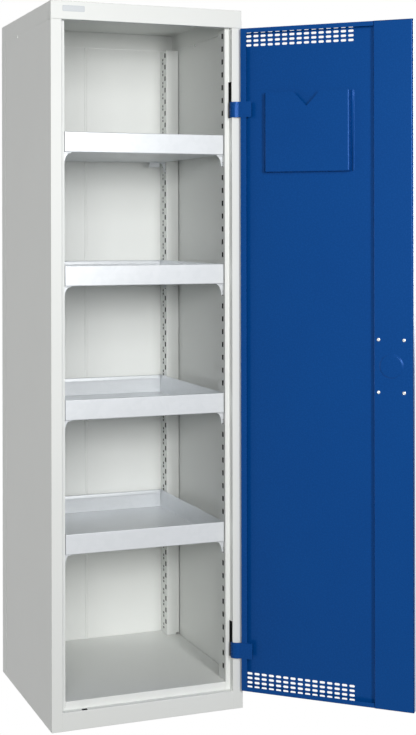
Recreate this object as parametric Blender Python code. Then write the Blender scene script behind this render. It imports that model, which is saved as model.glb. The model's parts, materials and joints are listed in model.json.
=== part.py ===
"""Tall single-door steel cabinet for hazardous materials, with sump trays.

Built in metres with +Z up.  The front faces -Y.  The origin lies on the floor, in the middle of the
plinth's bottom flange.  The door is drawn closed and its pivot is then turned to the open rest pose.
"""

import math

import bmesh
import bpy
from mathutils import Matrix, Vector

# Outer size of the carcass
HEIGHT = 1.800
WIDTH = 0.510
DEPTH = 0.510

# Sheet metal and fits
SHEET = 0.001
GAP = 0.0003
BEND = 0.001
BEND_STEPS = 3
EDGE_ROUND = 0.0015
EDGE_STEPS = 2

# Front frame: stile face, rebate that takes the door, stop flange behind it
STILE = 0.028
REBATE = 0.020
STOP = 0.012
SKIRT = 0.046
FOOT = 0.020
FLOOR_RISE = 0.020
FLOOR_LAP = 0.010
BACK_WRAP = 0.042
JOGGLE = 0.018
BEAD_X = -0.0113
BEAD_WIDTH = 0.0083
BEAD_DEPTH = 0.0015
LABEL_WIDTH = 0.057
LABEL_HEIGHT = 0.015
LABEL_THICK = 0.0008
LABEL_DROP = 0.0189
LABEL_SIDE = 0.002

# Perforated uprights
FRONT_STRIP = 0.043
REAR_STRIP = 0.052
UPRIGHT_TOP_DROP = 0.050
UPRIGHT_BEND = 0.004
WELD_FLANGE = 0.009
REAR_FLANGE = 0.020
SLOT_PITCH = 0.0333333
SLOT_FIRST = 0.103
SLOT_LAST_DROP = 0.012
SLOT_TALL = 0.012
SLOT_WIDE = 0.005
FRONT_SLOT_INSET = 0.0147
REAR_SLOT_INSET = 0.0082

# Sump trays and the clips that carry them
TRAY_COUNT = 4
TRAY_SLOTS_ABOVE = 10
TRAY_LIFT = 0.025
TRAY_TALL = 0.051
TRAY_SIDE_CLEAR = 0.001
TRAY_FRONT_CLEAR = 0.001
TRAY_REAR_CLEAR = 0.005
HEM = 0.010
HEM_END = 0.005
CLIP_THICK = 0.003
CLIP_REACH = 0.018
CLIP_TAIL = 0.004
CLIP_STEPS = 5
CLIP_LEDGE = 0.002
CLIP_LEDGE_WIDE = 0.018
CLIP_TONGUE = 0.009
CLIP_TONGUE_DEEP = 0.004
REAR_LEDGE_REACH = 0.052
REAR_TAB_LONG = 0.031
REAR_TAB_TALL = 0.015

# Door
DOOR_OPEN = math.radians(137.3)
DOOR_SIDE_GAP = 0.0025
DOOR_END_GAP = 0.002
DOOR_THICK = 0.017
HINGE_LIP = 0.016
END_LIP = 0.012
CHANNEL_WIDE = 0.100
CHANNEL_TUCK = 0.010
CHANNEL_FOOT = 0.012
VENT_COLUMNS = 15
VENT_ROWS = 4
VENT_PITCH_X = 0.0193
VENT_PITCH_Z = 0.0115
VENT_WIDE = 0.0150
VENT_TALL = 0.0075
VENT_CORNER = 0.0022
VENT_SIDE = 0.0180
VENT_END = 0.0080

# Hinges
PIVOT_SIDE = 0.0145
PIVOT_DEPTH = 0.007
ARM_THICK = 0.002
ARM_TALL = 0.040
ARM_OVERLAP = 0.0305
ARM_SWEEP = 0.0167
ARM_END_ANGLE = math.radians(49.5)
ARM_STEPS = 6
ARM_FROM_LOW = 0.104
ARM_FROM_TOP = 0.2085
ARM_NAMES = ("lower", "upper")
EYE = 0.005
PIN = 0.003
PIN_DROP = 0.014
EAR_THICK = 0.0025
EAR_WIDE = 0.015
EAR_REACH = 0.0125
WEB_TALL = 0.030
WEB_THICK = 0.002
HINGE_SLOT_FRONT = 0.004
HINGE_SLOT_CORNER = 0.0015
HINGE_SLOT_ABOVE = 0.052
HINGE_SLOT_BELOW = 0.001

# Document pocket on the inside of the door
POCKET_WIDE = 0.221
POCKET_TALL = 0.203
POCKET_DEEP = 0.017
POCKET_DROP = 0.168
POCKET_FLARE = 0.003
POCKET_FLANGE = 0.006
POCKET_MIDDLE = 0.177
NOTCH_WIDE = 0.069
NOTCH_DEEP = 0.037

# Espagnolette lock: handle, cam, rods and their guides
LOCK_BACKSET = 0.0555
LOCK_DROP = 0.003
LOCK_SCREW_X = 0.064
LOCK_SCREW_Z = 0.130
EMBOSS_RADIUS = 0.031
EMBOSS_SLOPE = 0.003
EMBOSS_TALL = 0.002
CASE_WIDE = 0.078
CASE_TALL = 0.146
CASE_THICK = 0.0025
SCREW_HEAD = 0.0045
SCREW_HEAD_TALL = 0.0022
SCREW_SHANK = 0.002
SPINDLE = 0.006
SPINDLE_CLEAR = 0.0006
SKIN_HOLE = 0.009
CAM_RADIUS = 0.0185
CAM_START = 0.002
CAM_THICK = 0.003
CRANK_PIN = 0.0025
CRANK_CLEAR = 0.0008
ROD_WIDE = 0.010
ROD_THICK = 0.004
ROD_START = 0.0056
ROD_STROKE = 0.020
ROD_BACK = 0.001
ROD_EYE_TALL = 0.013
ROD_EYE_WIDE = 0.0155
ROD_EYE_INNER = 0.0049
ROD_JOIN = 0.030
ROD_TAPER = 0.003
ROD_SHOULDER = 0.004
ROD_NECK = 0.006
ROD_HOLE_CLEAR = 0.002
GUIDE_WIDE = 0.026
GUIDE_TALL = 0.014
GUIDE_START = 0.0042
GUIDE_CLEAR = 0.0006
GUIDE_FROM_END = 0.150
ROSE_RADIUS = 0.026
ROSE_THICK = 0.004
HUB_RADIUS = 0.013
HUB_TALL = 0.020
GRIP_LONG = 0.088
GRIP_WIDE = 0.014
GRIP_TALL = 0.014
GRIP_STEPS = 6
PLUG_RADIUS = 0.007
PLUG_DEEP = 0.012
KEYWAY_LONG = 0.008
KEYWAY_WIDE = 0.0016
KEYWAY_DEEP = 0.006

# Derived planes
HALF = WIDTH / 2.0
FRONT = -FOOT / 2.0
BACK = FRONT + DEPTH
MID = SHEET / 2.0
OPENING = HALF - STILE
INNER = OPENING - STOP
STOP_FACE = FRONT + REBATE
STOP_BACK = STOP_FACE + SHEET
FLOOR_TOP = SKIRT + FLOOR_RISE
WALL_TOP = HEIGHT - SKIRT - GAP
UPRIGHT_LOW = FLOOR_TOP + GAP
UPRIGHT_HIGH = HEIGHT - UPRIGHT_TOP_DROP
DOOR_EDGE = OPENING - DOOR_SIDE_GAP
DOOR_LOW = SKIRT + DOOR_END_GAP
DOOR_HIGH = HEIGHT - SKIRT - DOOR_END_GAP
DOOR_BACK = FRONT + DOOR_THICK
ARM_LEVELS = (DOOR_LOW + ARM_FROM_LOW, DOOR_HIGH - ARM_FROM_TOP)
POCKET_BOTTOM = DOOR_HIGH - POCKET_DROP - POCKET_TALL
LOCK_LEVEL = (DOOR_LOW + DOOR_HIGH) / 2.0 - LOCK_DROP
SLOT_COUNT = int((UPRIGHT_HIGH - SLOT_LAST_DROP - SLOT_FIRST) / SLOT_PITCH) + 1
TRAY_TOP_SLOT = SLOT_COUNT - 1 - TRAY_SLOTS_ABOVE
TRAY_SLOT_STEP = (TRAY_TOP_SLOT + 1) // TRAY_COUNT
DOOR_INSIDE = FRONT + SHEET
PIVOT = Vector((HALF - PIVOT_SIDE, FRONT + PIVOT_DEPTH, 0.0))
CHANNEL_EDGE = -DOOR_EDGE + CHANNEL_WIDE
LOCK_X = -DOOR_EDGE + LOCK_BACKSET
LOCK = Vector((LOCK_X, FRONT, LOCK_LEVEL))
CRANK = ROD_STROKE / math.sqrt(2.0)
FRONT_SLOT_Y = STOP_BACK + GAP + FRONT_SLOT_INSET
REAR_STRIP_BACK = BACK - SHEET - GAP
REAR_STRIP_FRONT = REAR_STRIP_BACK - REAR_STRIP
REAR_SLOT_Y = REAR_STRIP_FRONT + REAR_SLOT_INSET


def clear_scene():
    for obj in list(bpy.data.objects):
        bpy.data.objects.remove(obj, do_unlink=True)


def make_material(name, colour, roughness, metallic):
    mat = bpy.data.materials.new(name)
    mat.use_nodes = True
    shader = mat.node_tree.nodes["Principled BSDF"]
    shader.inputs["Base Color"].default_value = (*colour, 1.0)
    shader.inputs["Roughness"].default_value = roughness
    shader.inputs["Metallic"].default_value = metallic
    return mat


def make_object(name, bm, smooth=False):
    """Turn a bmesh into a linked mesh object at the origin."""
    bmesh.ops.recalc_face_normals(bm, faces=bm.faces)
    mesh = bpy.data.meshes.new(name)
    bm.to_mesh(mesh)
    bm.free()
    for face in mesh.polygons:
        face.use_smooth = smooth
    obj = bpy.data.objects.new(name, mesh)
    bpy.context.collection.objects.link(obj)
    return obj


def lay(point, level, axis):
    """Put a flat point and a height along the axis into space."""
    a, b = point
    if axis == "x":
        return (level, a, b)
    if axis == "y":
        return (a, level, b)
    return (a, b, level)


def add_prism(bm, outline, low, high, axis):
    bottom = [bm.verts.new(lay(p, low, axis)) for p in outline]
    top = [bm.verts.new(lay(p, high, axis)) for p in outline]
    bm.faces.new(bottom)
    bm.faces.new(top)
    count = len(outline)
    for i in range(count):
        j = (i + 1) % count
        bm.faces.new((bottom[i], bottom[j], top[j], top[i]))


def prism(name, outline, low, high, axis="z", smooth=False):
    """Straight extrusion of a closed outline."""
    bm = bmesh.new()
    add_prism(bm, outline, low, high, axis)
    return make_object(name, bm, smooth)


def prisms(name, outlines, low, high, axis="z"):
    """Several separate extrusions in one object, used as a cutter."""
    bm = bmesh.new()
    for outline in outlines:
        add_prism(bm, outline, low, high, axis)
    return make_object(name, bm)


def add_box(bm, low, high):
    verts = bmesh.ops.create_cube(bm, size=1.0)["verts"]
    size = [h - l for l, h in zip(low, high)]
    centre = [(h + l) / 2.0 for l, h in zip(low, high)]
    bmesh.ops.scale(bm, vec=size, verts=verts)
    bmesh.ops.translate(bm, vec=centre, verts=verts)


def box(name, low, high):
    bm = bmesh.new()
    add_box(bm, low, high)
    return make_object(name, bm)


def rounded_box(name, low, high, is_round):
    """Box with some edges rounded; is_round picks them by the middle of the edge."""
    bm = bmesh.new()
    add_box(bm, low, high)
    edges = [e for e in bm.edges if is_round((e.verts[0].co + e.verts[1].co) / 2.0)]
    bmesh.ops.bevel(bm, geom=edges, offset=EDGE_ROUND, offset_type="OFFSET", segments=EDGE_STEPS,
                    profile=0.5, affect="EDGES", material=-1)
    return make_object(name, bm)


def boxes(name, spans):
    """Several separate boxes in one object, used as a cutter."""
    bm = bmesh.new()
    for low, high in spans:
        add_box(bm, low, high)
    return make_object(name, bm)


def circle(radius, count, centre=(0.0, 0.0), turn=0.0):
    points = []
    for i in range(count):
        angle = turn + 2.0 * math.pi * i / count
        points.append((centre[0] + radius * math.cos(angle), centre[1] + radius * math.sin(angle)))
    return points


def cylinder(name, centre, radius, low, high, axis="z", count=16):
    return prism(name, circle(radius, count, centre), low, high, axis, smooth=True)


def cone(name, centre, low_radius, high_radius, low, high, count):
    """Frustum along Y around a point in the XZ plane."""
    bm = bmesh.new()
    first = [bm.verts.new((x, low, z)) for x, z in circle(low_radius, count, centre)]
    second = [bm.verts.new((x, high, z)) for x, z in circle(high_radius, count, centre)]
    bm.faces.new(first)
    bm.faces.new(second)
    for i in range(count):
        j = (i + 1) % count
        bm.faces.new((first[i], first[j], second[j], second[i]))
    return make_object(name, bm)


def rounded(path, radius, steps=BEND_STEPS):
    """Replace each inner corner of an open path by an arc."""
    points = [Vector(p) for p in path]
    result = [points[0]]
    for before, corner, after in zip(points, points[1:], points[2:]):
        come = (corner - before).normalized()
        leave = (after - corner).normalized()
        turn = come.angle_signed(leave)
        reach = radius * math.tan(abs(turn) / 2.0)
        longest = 0.45 * min((corner - before).length, (after - corner).length)
        fit = radius * min(1.0, longest / reach)
        reach = fit * math.tan(abs(turn) / 2.0)
        start = corner - come * reach
        side = -1.0 if turn > 0.0 else 1.0
        normal = Vector((-come.y, come.x)) * side
        centre = start + normal * fit
        for i in range(steps + 1):
            angle = side * abs(turn) * i / steps
            arm = start - centre
            swung = Vector((arm.x * math.cos(angle) - arm.y * math.sin(angle),
                            arm.x * math.sin(angle) + arm.y * math.cos(angle)))
            result.append(centre + swung)
    result.append(points[-1])
    return result


def sheet_outline(path, thickness):
    """Closed outline of a bent strip whose middle follows an open path."""
    points = [Vector(p) for p in path]
    left = []
    right = []
    steps = [(after - before).normalized() for before, after in zip(points, points[1:])]
    for point, come, leave in zip(points, steps[:1] + steps, steps + steps[-1:]):
        one = Vector((-come.y, come.x))
        two = Vector((-leave.y, leave.x))
        offset = (one + two) * (thickness / 2.0 / (1.0 + one.dot(two)))
        left.append(tuple(point + offset))
        right.append(tuple(point - offset))
    return left + right[::-1]


def bent_sheet(name, path, low, high, axis="z", thickness=SHEET, radius=BEND):
    return prism(name, sheet_outline(rounded(path, radius), thickness), low, high, axis)


def boolean(base, tool, operation):
    """Join or cut one object with another and drop the tool."""
    mod = base.modifiers.new(operation.lower(), "BOOLEAN")
    mod.operation = operation
    mod.solver = "EXACT"
    mod.object = tool
    graph = bpy.context.evaluated_depsgraph_get()
    mesh = bpy.data.meshes.new_from_object(base.evaluated_get(graph))
    base.modifiers.clear()
    old = base.data
    base.data = mesh
    bpy.data.meshes.remove(old)
    bpy.data.objects.remove(tool, do_unlink=True)
    return base


def join(base, tool):
    return boolean(base, tool, "UNION")


def cut(base, tool):
    return boolean(base, tool, "DIFFERENCE")


def finish(obj, mat, parent=None, origin=None):
    """Give the piece its material and, for a moving piece, its pivot."""
    obj.data.materials.clear()
    obj.data.materials.append(mat)
    if parent is not None:
        obj.data.transform(Matrix.Translation(-origin))
        obj.parent = parent
    return obj


def make_pivot(name, place, parent=None):
    empty = bpy.data.objects.new(name, None)
    bpy.context.collection.objects.link(empty)
    empty.parent = parent
    empty.location = place
    return empty


def mirrored(path, side):
    return [(x * side, y) for x, y in path]


def span(low, high):
    """Corners of a box with each axis put in order."""
    pairs = [sorted(pair) for pair in zip(low, high)]
    return tuple(p[0] for p in pairs), tuple(p[1] for p in pairs)


clear_scene()

BODY = make_material("body light grey paint", (0.70, 0.72, 0.71), 0.45, 0.0)
BLUE = make_material("door blue paint", (0.005, 0.065, 0.26), 0.40, 0.0)
ZINC = make_material("galvanised steel", (0.62, 0.64, 0.65), 0.35, 0.9)
STEEL = make_material("zinc plated steel", (0.70, 0.70, 0.68), 0.30, 1.0)
BLACK = make_material("black handle plastic", (0.02, 0.02, 0.02), 0.50, 0.0)
CHROME = make_material("chromed lock plug", (0.80, 0.80, 0.80), 0.15, 1.0)
LABEL = make_material("blank label", (0.75, 0.77, 0.78), 0.40, 0.0)

# Side panels: wall, stile, rebate and stop flange folded from one sheet, with a bottom flange.
# The rear edge is joggled to lie behind the wrap of the back panel.
wall_mid = HALF - MID
tuck = SHEET + GAP
wrap_edge = BACK - BACK_WRAP
side_path = [
    (wall_mid - tuck, wrap_edge + JOGGLE),
    (wall_mid - tuck, wrap_edge - 2.0 * GAP),
    (wall_mid, wrap_edge - 2.0 * GAP - 2.0 * SHEET),
    (wall_mid, FRONT + MID),
    (OPENING + MID, FRONT + MID),
    (OPENING + MID, STOP_FACE + MID),
    (INNER, STOP_FACE + MID),
]


def side_panel(name, side):
    panel = bent_sheet(name, mirrored(side_path, side), 0.0, WALL_TOP)
    low, high = span((side * (HALF - FOOT), STOP_BACK, 0.0), (side * wall_mid, wrap_edge - FOOT, SHEET))
    return join(panel, box("flange", low, high))


left_panel = side_panel("left_side_panel", -1.0)
right_panel = side_panel("right_side_panel", 1.0)
for level in ARM_LEVELS:
    slot_bottom = level - ARM_TALL / 2.0 - HINGE_SLOT_BELOW
    slot_top = level + ARM_TALL / 2.0 + HINGE_SLOT_ABOVE
    slot_low = (OPENING - HINGE_SLOT_CORNER, FRONT + HINGE_SLOT_FRONT, slot_bottom)
    slot_high = (OPENING + 2.0 * SHEET, STOP_BACK + SHEET, slot_top)
    cut(right_panel, box("hinge slot", slot_low, slot_high))
finish(left_panel, BODY)
finish(right_panel, BODY)

# Back panel: a shallow pan wrapped round the rear edges, with a stiffening bead pressed inwards.
back_mid = BACK - MID
bead = BEAD_WIDTH / 2.0
back_path = [
    (wall_mid, wrap_edge),
    (wall_mid, back_mid),
    (BEAD_X + bead, back_mid),
    (BEAD_X + bead / 2.0, back_mid - BEAD_DEPTH),
    (BEAD_X - bead / 2.0, back_mid - BEAD_DEPTH),
    (BEAD_X - bead, back_mid),
    (-wall_mid, back_mid),
    (-wall_mid, wrap_edge),
]
back_panel = bent_sheet("back_panel", back_path, 0.0, WALL_TOP)
join(back_panel, box("flange", (-wall_mid, BACK - FOOT, 0.0), (wall_mid, back_mid, SHEET)))
finish(back_panel, BODY)

# Lid: a pressed pan turned down over the walls.  Its front edge returns inwards and up, and that
# return takes the upper lock rod.
lid_low = HEIGHT - SKIRT
lid = rounded_box("top_panel", (-HALF, FRONT, lid_low), (HALF, BACK, HEIGHT),
                  lambda middle: middle.z > lid_low + SHEET)
cut(lid, box("hollow", (-HALF + SHEET, FRONT + SHEET, lid_low - SHEET),
             (HALF - SHEET, BACK - SHEET, HEIGHT - SHEET)))
lid_path = [
    (FRONT + MID, lid_low + MID),
    (STOP_FACE + MID, lid_low + MID),
    (STOP_FACE + MID, lid_low + MID + FLOOR_RISE),
]
return_half = HALF - EDGE_ROUND
join(lid, bent_sheet("return", lid_path, -return_half, return_half, "x"))
rod_mid = FRONT + ROD_START + ROD_THICK / 2.0
slot_half_x = ROD_WIDE / 2.0 + ROD_HOLE_CLEAR
slot_half_y = ROD_THICK / 2.0 + ROD_HOLE_CLEAR


def rod_slot(low, high):
    return box("rod slot", (LOCK_X - slot_half_x, rod_mid - slot_half_y, low),
               (LOCK_X + slot_half_x, rod_mid + slot_half_y, high))


cut(lid, rod_slot(lid_low - SHEET, lid_low + 2.0 * SHEET))
finish(lid, BODY)

# Blank label plate on the lid's front skirt
label_mid = HEIGHT - LABEL_DROP
label_left = -OPENING + LABEL_SIDE
label_high = FRONT - GAP
label = box("label_plate", (label_left, label_high - LABEL_THICK, label_mid - LABEL_HEIGHT / 2.0),
            (label_left + LABEL_WIDTH, label_high, label_mid + LABEL_HEIGHT / 2.0))
finish(label, LABEL)

# Plinth rail: face, foot flange and the ledge below the door with the lower rod's slot
plinth_half = OPENING - GAP
plinth_path = [
    (FRONT + FOOT, MID),
    (FRONT + MID, MID),
    (FRONT + MID, SKIRT - MID),
    (STOP_FACE - GAP, SKIRT - MID),
]
plinth = bent_sheet("plinth_rail", plinth_path, -plinth_half, plinth_half, "x")
cut(plinth, rod_slot(SKIRT - 2.0 * SHEET, SKIRT + SHEET))
finish(plinth, BODY)

# Floor with its front edge turned down as the door's lower stop
floor_half = wall_mid - tuck - MID - GAP
floor_front_half = INNER - GAP
floor_path = [
    (STOP_FACE + MID, SKIRT - FOOT),
    (STOP_FACE + MID, FLOOR_TOP - MID),
    (BACK - SHEET - BEAD_DEPTH - GAP, FLOOR_TOP - MID),
]
floor_panel = bent_sheet("floor_panel", floor_path, -floor_front_half, floor_front_half, "x")
for side in (-1.0, 1.0):
    low, high = span((side * (floor_front_half - FLOOR_LAP), STOP_BACK + GAP, FLOOR_TOP - SHEET),
                     (side * floor_half, BACK - SHEET - BEAD_DEPTH - GAP, FLOOR_TOP))
    join(floor_panel, box("floor side", low, high))
finish(floor_panel, BODY)

# Perforated uprights behind the stiles and in the rear corners
weld_mid = HALF - SHEET - GAP - MID
front_strip_back = STOP_BACK + GAP + FRONT_STRIP
front_path = [
    (INNER + WELD_FLANGE, STOP_BACK + GAP + MID),
    (INNER + MID, STOP_BACK + GAP + MID),
    (INNER + MID, front_strip_back - MID),
    (weld_mid, front_strip_back - MID),
    (weld_mid, front_strip_back + WELD_FLANGE),
]
rear_path = [
    (INNER + REAR_FLANGE, REAR_STRIP_BACK - MID),
    (INNER + MID, REAR_STRIP_BACK - MID),
    (INNER + MID, REAR_STRIP_FRONT + MID),
    (weld_mid, REAR_STRIP_FRONT + MID),
    (weld_mid, REAR_STRIP_FRONT + WELD_FLANGE),
]


def slot_level(index):
    return SLOT_FIRST + SLOT_PITCH * index


def hole(side, y, z, wide, tall):
    return span((side * (INNER - SHEET), y - wide / 2.0, z - tall / 2.0),
                (side * (INNER + 2.0 * SHEET), y + wide / 2.0, z + tall / 2.0))


def upright(name, path, side, radius, slot_y):
    post = bent_sheet(name, mirrored(path, side), UPRIGHT_LOW, UPRIGHT_HIGH, radius=radius)
    holes = []
    for i in range(SLOT_COUNT):
        holes.append(hole(side, slot_y, slot_level(i), SLOT_WIDE, SLOT_TALL))
    cut(post, boxes("slots", holes))
    return finish(post, BODY)


for side, word in ((-1.0, "left"), (1.0, "right")):
    upright("front_" + word + "_upright", front_path, side, BEND, FRONT_SLOT_Y)
    upright("rear_" + word + "_upright", rear_path, side, UPRIGHT_BEND, REAR_SLOT_Y)

# Sump trays: folded pans with a hem turned in along the front and rear edges
tray_half = INNER - TRAY_SIDE_CLEAR
tray_front = STOP_BACK + TRAY_FRONT_CLEAR
tray_back = BACK - SHEET - TRAY_REAR_CLEAR


def tray_level(number):
    return slot_level(TRAY_TOP_SLOT - TRAY_SLOT_STEP * number) + TRAY_LIFT


for number in range(TRAY_COUNT):
    low = tray_level(number)
    high = low + TRAY_TALL
    tray = rounded_box("tray_%d" % (number + 1), (-tray_half, tray_front, low), (tray_half, tray_back, high),
                       lambda middle: middle.z < high - SHEET)
    cut(tray, box("well", (-tray_half + SHEET, tray_front + SHEET, low + SHEET),
                  (tray_half - SHEET, tray_back - SHEET, high + SHEET)))
    hem_half = tray_half - HEM_END
    join(tray, box("front hem", (-hem_half, tray_front + MID, high - HEM),
                   (hem_half, tray_front + 2.0 * SHEET, high)))
    join(tray, box("rear hem", (-hem_half, tray_back - 2.0 * SHEET, high - HEM),
                   (hem_half, tray_back - MID, high)))
    finish(tray, ZINC)

# Shelf clips: a curved gusset whose tongue hooks into an upright's slot, under a small ledge
clip_face = INNER - GAP


def gusset(name, side, y, slot_z, top):
    bottom = slot_z - CLIP_TONGUE / 2.0
    shoulder = top - CLIP_LEDGE
    inside = top - CLIP_LEDGE / 2.0
    outline = [(clip_face, inside), (clip_face - CLIP_REACH, inside)]
    for i in range(CLIP_STEPS + 1):
        angle = math.pi / 2.0 * i / CLIP_STEPS
        outline.append((clip_face - CLIP_REACH + (CLIP_REACH - CLIP_TAIL) * math.sin(angle),
                        bottom + (shoulder - bottom) * math.cos(angle)))
    outline.append((clip_face + CLIP_TONGUE_DEEP, bottom))
    outline.append((clip_face + CLIP_TONGUE_DEEP, bottom + CLIP_TONGUE))
    outline.append((clip_face, bottom + CLIP_TONGUE))
    return prism(name, mirrored(outline, side), y - CLIP_THICK / 2.0, y + CLIP_THICK / 2.0, "y")


def ledge(side, y, top, reach, tab):
    """Small shelf of the clip; a rear one is longer and has a tab folded down at its front edge."""
    near = clip_face - SHEET
    far = clip_face - reach
    half = CLIP_LEDGE_WIDE / 2.0
    under = top - CLIP_LEDGE
    if not tab:
        return box("ledge", *span((side * far, y - half, under), (side * near, y + half, top)))
    shelf = box("ledge", *span((side * far, y - half, top - REAR_TAB_TALL), (side * near, y + half, top)))
    behind = y - half + CLIP_LEDGE
    below = top - half - REAR_TAB_TALL
    cut(shelf, box("behind", *span((side * (far - half), behind, below),
                                   (side * INNER, y + 2.0 * half, under))))
    beside = far + REAR_TAB_LONG
    cut(shelf, box("beside", *span((side * beside, y - 2.0 * half, below),
                                   (side * INNER, y + half, under))))
    return shelf


def shelf_clip(name, side, y, slot_z, top, reach, tab):
    clip = ledge(side, y, top, reach, tab)
    clip.name = name
    join(clip, gusset("gusset", side, y, slot_z, top))
    return finish(clip, ZINC)


for number in range(TRAY_COUNT):
    top = tray_level(number) - GAP
    slot_z = tray_level(number) - TRAY_LIFT
    for side, word in ((-1.0, "left"), (1.0, "right")):
        stem = "clip_%d_" % (number + 1)
        shelf_clip(stem + "front_" + word, side, FRONT_SLOT_Y, slot_z, top, CLIP_REACH + SHEET, False)
        shelf_clip(stem + "rear_" + word, side, REAR_SLOT_Y, slot_z, top, REAR_LEDGE_REACH, True)

# Door pivot, turned to the open rest pose
door_pivot = make_pivot("door_pivot", PIVOT)
door_pivot.rotation_euler = (0.0, 0.0, DOOR_OPEN)

# Hinge brackets stay in the right stile; arms and pins swing with the door
arm_mid = DOOR_BACK + GAP + ARM_THICK / 2.0
rise = arm_mid - PIVOT.y
turn_in = math.pi - math.asin(rise / ARM_SWEEP)
for level, word in zip(ARM_LEVELS, ARM_NAMES):
    arm_low = level - ARM_TALL / 2.0
    arm_high = level + ARM_TALL / 2.0
    ear_high = arm_low - 2.0 * GAP
    ear_low = ear_high - EAR_THICK
    bracket_front = FRONT + SHEET + GAP
    bracket = box("hinge_bracket_" + word, (PIVOT.x - EAR_WIDE / 2.0, bracket_front, ear_low),
                  (PIVOT.x + EAR_WIDE / 2.0, bracket_front + EAR_REACH, ear_high))
    web_low = (PIVOT.x - EAR_WIDE / 2.0, bracket_front, ear_low - WEB_TALL)
    web_high = (PIVOT.x + EAR_WIDE / 2.0, bracket_front + WEB_THICK, ear_high)
    join(bracket, box("web", web_low, web_high))
    cut(bracket, cylinder("bore", (PIVOT.x, PIVOT.y), PIN + GAP, ear_low - SHEET, ear_high + SHEET))
    finish(bracket, STEEL)

    path = [(DOOR_EDGE - ARM_OVERLAP, arm_mid)]
    for i in range(ARM_STEPS + 1):
        angle = turn_in + (ARM_END_ANGLE - turn_in) * i / ARM_STEPS
        path.append((PIVOT.x + ARM_SWEEP * math.cos(angle), PIVOT.y + ARM_SWEEP * math.sin(angle)))
    path.append((PIVOT.x + PIN * math.cos(ARM_END_ANGLE), PIVOT.y + PIN * math.sin(ARM_END_ANGLE)))
    arm = prism("hinge_arm_" + word, sheet_outline(path, ARM_THICK), arm_low, arm_high)
    join(arm, cylinder("eye", (PIVOT.x, PIVOT.y), EYE, arm_low, arm_high))
    cut(arm, cylinder("bore", (PIVOT.x, PIVOT.y), PIN + GAP, arm_low - SHEET, arm_high + SHEET))
    finish(arm, BLUE, door_pivot, PIVOT)

    pin = cylinder("hinge_pin_" + word, (PIVOT.x, PIVOT.y), PIN, arm_low - PIN_DROP, arm_high + SHEET)
    finish(pin, STEEL, door_pivot, PIVOT)

# Door leaf: a shallow pan with lips turned in on the hinge side and the ends
door = rounded_box("door_panel", (-DOOR_EDGE, FRONT, DOOR_LOW), (DOOR_EDGE, DOOR_BACK, DOOR_HIGH),
                   lambda middle: middle.y < DOOR_BACK - SHEET)
cut(door, box("hollow", (-DOOR_EDGE + SHEET, DOOR_INSIDE, DOOR_LOW + SHEET),
              (DOOR_EDGE - SHEET, DOOR_BACK + SHEET, DOOR_HIGH - SHEET)))
lip_low = DOOR_BACK - SHEET
lip_root = SHEET - GAP
join(door, box("hinge lip", (DOOR_EDGE - HINGE_LIP, lip_low, DOOR_LOW + lip_root),
               (DOOR_EDGE - lip_root, DOOR_BACK, DOOR_HIGH - lip_root)))
for near, far in ((DOOR_LOW + lip_root, DOOR_LOW + END_LIP), (DOOR_HIGH - END_LIP, DOOR_HIGH - lip_root)):
    join(door, box("end lip", (CHANNEL_EDGE + GAP, lip_low, near), (DOOR_EDGE - lip_root, DOOR_BACK, far)))
for near, far in ((DOOR_LOW - SHEET, DOOR_LOW + 2.0 * SHEET), (DOOR_HIGH - 2.0 * SHEET, DOOR_HIGH + SHEET)):
    cut(door, rod_slot(near, far))
spot = (LOCK_X, LOCK_LEVEL)
cut(door, cylinder("spindle hole", spot, SKIN_HOLE, FRONT - SHEET, FRONT + 2.0 * SHEET, "y"))


def vent_outline(x, z):
    """Oblong with clipped corners around a point."""
    half_x = VENT_WIDE / 2.0
    half_z = VENT_TALL / 2.0
    flat_x = half_x - VENT_CORNER
    flat_z = half_z - VENT_CORNER
    corners = [
        (-half_x, -flat_z),
        (-flat_x, -half_z),
        (flat_x, -half_z),
        (half_x, -flat_z),
        (half_x, flat_z),
        (flat_x, half_z),
        (-flat_x, half_z),
        (-half_x, flat_z),
    ]
    return [(x + a, z + b) for a, b in corners]


vents = []
for row in range(VENT_ROWS):
    inset = VENT_END + VENT_PITCH_Z * row
    for z in (DOOR_LOW + inset, DOOR_HIGH - inset):
        for column in range(VENT_COLUMNS):
            vents.append(vent_outline(DOOR_EDGE - VENT_SIDE - VENT_PITCH_X * column, z))
cut(door, prisms("vents", vents, FRONT - SHEET, FRONT + 2.0 * SHEET, "y"))
finish(door, BLUE, door_pivot, PIVOT)

# Lock channel: boxes in the free side of the door, with a round emboss over the lock
channel_low = DOOR_LOW + SHEET + GAP
channel_high = DOOR_HIGH - SHEET - GAP
channel_left = -DOOR_EDGE + SHEET + GAP + MID
channel_right = CHANNEL_EDGE - MID
channel_path = [
    (channel_left, DOOR_BACK - CHANNEL_TUCK),
    (channel_left, DOOR_BACK - MID),
    (channel_right, DOOR_BACK - MID),
    (channel_right, DOOR_INSIDE + GAP + MID),
    (channel_right - CHANNEL_FOOT, DOOR_INSIDE + GAP + MID),
]
channel = bent_sheet("lock_channel", channel_path, channel_low, channel_high)
shoulder = EMBOSS_RADIUS - EMBOSS_SLOPE
join(channel, cone("boss", spot, EMBOSS_RADIUS, shoulder, DOOR_BACK - MID, DOOR_BACK + EMBOSS_TALL, 24))
cut(channel, cone("dish", spot, EMBOSS_RADIUS - SHEET, shoulder - SHEET, DOOR_BACK - 2.0 * SHEET,
                  DOOR_BACK + EMBOSS_TALL - SHEET, 24))
screw_places = []
for x in (LOCK_X - LOCK_SCREW_X / 2.0, LOCK_X + LOCK_SCREW_X / 2.0):
    for z in (LOCK_LEVEL - LOCK_SCREW_Z / 2.0, LOCK_LEVEL + LOCK_SCREW_Z / 2.0):
        screw_places.append((x, z))
screw_hole = SCREW_SHANK + GAP
screw_holes = [circle(screw_hole, 10, place) for place in screw_places]
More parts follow.
